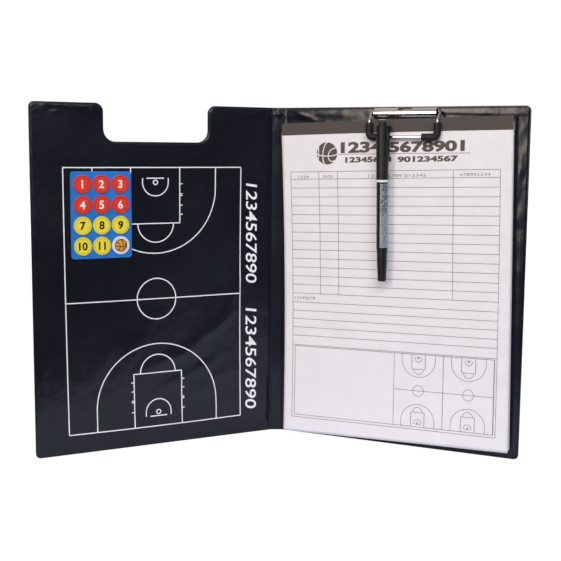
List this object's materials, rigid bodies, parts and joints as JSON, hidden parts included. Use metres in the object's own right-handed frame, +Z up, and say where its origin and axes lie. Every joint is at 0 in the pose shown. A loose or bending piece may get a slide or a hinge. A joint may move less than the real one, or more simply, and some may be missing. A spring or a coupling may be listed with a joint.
{
  "type": "tactics board",
  "caption": "Folding vinyl coach's folder standing open: magnetic court with numbered counters on one cover, wire clip with planner pad and marker on the other.",
  "frame": {"origin": "foot of the spine, midway between the two creases", "axes": "+Z up along the spine, +X to the clipboard cover's side, -Y towards the reader"},
  "size_m": [0.43, 0.1076, 0.313],
  "materials": {
    "vinyl": "satin grained PVC",
    "board": "greyboard",
    "tinplate": "bare",
    "white_ink": "screen print",
    "card_blue": "printed flexible magnet",
    "counter_red": "printed flexible magnet",
    "counter_yellow": "printed flexible magnet",
    "counter_white": "printed flexible magnet",
    "bright_plate": "bright nickel plate",
    "black_pvc": "soft PVC",
    "paper": "uncoated",
    "greyboard": "uncoated",
    "binding_cloth": "bookbinding cloth",
    "black_plastic": "moulded",
    "white_plastic": "moulded",
    "silver_film": "metallic film",
    "felt": "fibre"
  },
  "bodies": {
    "spine": {"spine_outer_skin": "vinyl", "spine_inner_skin": "vinyl", "spine_strip": "board", "left_hinge_web": "vinyl", "right_hinge_web": "vinyl"},
    "left_leaf": {"left_outer_skin": "vinyl", "left_inner_skin": "vinyl", "left_board": "board", "left_steel_sheet": "tinplate", "court_print": "white_ink"},
    "right_leaf": {"right_outer_skin": "vinyl", "right_inner_skin": "vinyl", "right_board": "board", "clip_base": "bright_plate", "clip_rivets": "bright_plate", "rivet_washers": "bright_plate", "pad_backing": "greyboard", "pad_sheets": "paper", "pad_top_sheet": "paper", "pad_tape": "binding_cloth"},
    "bail": {"clip_bail": "bright_plate", "bail_sleeve_left": "black_pvc", "bail_sleeve_right": "black_pvc"},
    "pen_cap": {"pen_cap": "black_plastic"},
    "pen": {"pen_barrel": "black_plastic", "pen_collar": "white_plastic", "pen_label": "silver_film", "pen_reservoir": "felt", "pen_tip_holder": "white_plastic", "pen_tip": "felt", "pen_fine_holder": "white_plastic", "pen_fine_tip": "felt"},
    "pen_end_cap": {"pen_end_cap": "black_plastic"},
    "card": {"magnet_card": "card_blue"},
    "counter_01": {"counter_01": "counter_red"},
    "counter_02": {"counter_02": "counter_red"},
    "counter_03": {"counter_03": "counter_red"},
    "counter_04": {"counter_04": "counter_red"},
    "counter_05": {"counter_05": "counter_red"},
    "counter_06": {"counter_06": "counter_red"},
    "counter_07": {"counter_07": "counter_yellow"},
    "counter_08": {"counter_08": "counter_yellow"},
    "counter_09": {"counter_09": "counter_yellow"},
    "counter_10": {"counter_10": "counter_yellow"},
    "counter_11": {"counter_11": "counter_yellow"},
    "counter_ball": {"counter_ball": "counter_white"}
  },
  "joints": [
    {"name": "left_fold", "type": "hinge", "parent": "spine", "child": "left_leaf", "pos_m": [-0.00625, 0, 0], "axis": [0, 0, -1], "range_deg": [-56.5, 105.5], "deforming": ["left_hinge_web"]},
    {"name": "right_fold", "type": "hinge", "parent": "spine", "child": "right_leaf", "pos_m": [0.00625, 0, 0], "axis": [0, 0, 1], "range_deg": [-56.5, 105.5], "deforming": ["right_hinge_web"]},
    {"name": "bail_lift", "type": "hinge", "parent": "right_leaf", "child": "bail", "pos_m": [0.11253, -0.05823, 0.3066], "axis": [-0.9026, 0.4305, 0], "range_deg": [0, 70], "stiffness_Nm_per_rad": 0.12, "springref_deg": -34.38},
    {"name": "pen_lift", "type": "slide", "parent": "bail", "child": "pen_cap", "axis": [-0.0158, 0.0075, 0.9998], "range_m": [-0.003, 0.03]},
    {"name": "pen_uncap", "type": "slide", "parent": "pen_cap", "child": "pen", "axis": [0.0158, -0.0075, -0.9998], "range_m": [0, 0.04]},
    {"name": "end_uncap", "type": "slide", "parent": "pen", "child": "pen_end_cap", "axis": [0.0158, -0.0075, -0.9998], "range_m": [0, 0.03]},
    {"name": "card_lift", "type": "slide", "parent": "left_leaf", "child": "card", "axis": [0.4305, -0.9026, 0], "range_m": [0, 0.03]},
    {"name": "counter_01_lift", "type": "slide", "parent": "card", "child": "counter_01", "axis": [0.4305, -0.9026, 0], "range_m": [0, 0.02]},
    {"name": "counter_02_lift", "type": "slide", "parent": "card", "child": "counter_02", "axis": [0.4305, -0.9026, 0], "range_m": [0, 0.02]},
    {"name": "counter_03_lift", "type": "slide", "parent": "card", "child": "counter_03", "axis": [0.4305, -0.9026, 0], "range_m": [0, 0.02]},
    {"name": "counter_04_lift", "type": "slide", "parent": "card", "child": "counter_04", "axis": [0.4305, -0.9026, 0], "range_m": [0, 0.02]},
    {"name": "counter_05_lift", "type": "slide", "parent": "card", "child": "counter_05", "axis": [0.4305, -0.9026, 0], "range_m": [0, 0.02]},
    {"name": "counter_06_lift", "type": "slide", "parent": "card", "child": "counter_06", "axis": [0.4305, -0.9026, 0], "range_m": [0, 0.02]},
    {"name": "counter_07_lift", "type": "slide", "parent": "card", "child": "counter_07", "axis": [0.4305, -0.9026, 0], "range_m": [0, 0.02]},
    {"name": "counter_08_lift", "type": "slide", "parent": "card", "child": "counter_08", "axis": [0.4305, -0.9026, 0], "range_m": [0, 0.02]},
    {"name": "counter_09_lift", "type": "slide", "parent": "card", "child": "counter_09", "axis": [0.4305, -0.9026, 0], "range_m": [0, 0.02]},
    {"name": "counter_10_lift", "type": "slide", "parent": "card", "child": "counter_10", "axis": [0.4305, -0.9026, 0], "range_m": [0, 0.02]},
    {"name": "counter_11_lift", "type": "slide", "parent": "card", "child": "counter_11", "axis": [0.4305, -0.9026, 0], "range_m": [0, 0.02]},
    {"name": "counter_ball_lift", "type": "slide", "parent": "card", "child": "counter_ball", "axis": [0.4305, -0.9026, 0], "range_m": [0, 0.02]}
  ]
}
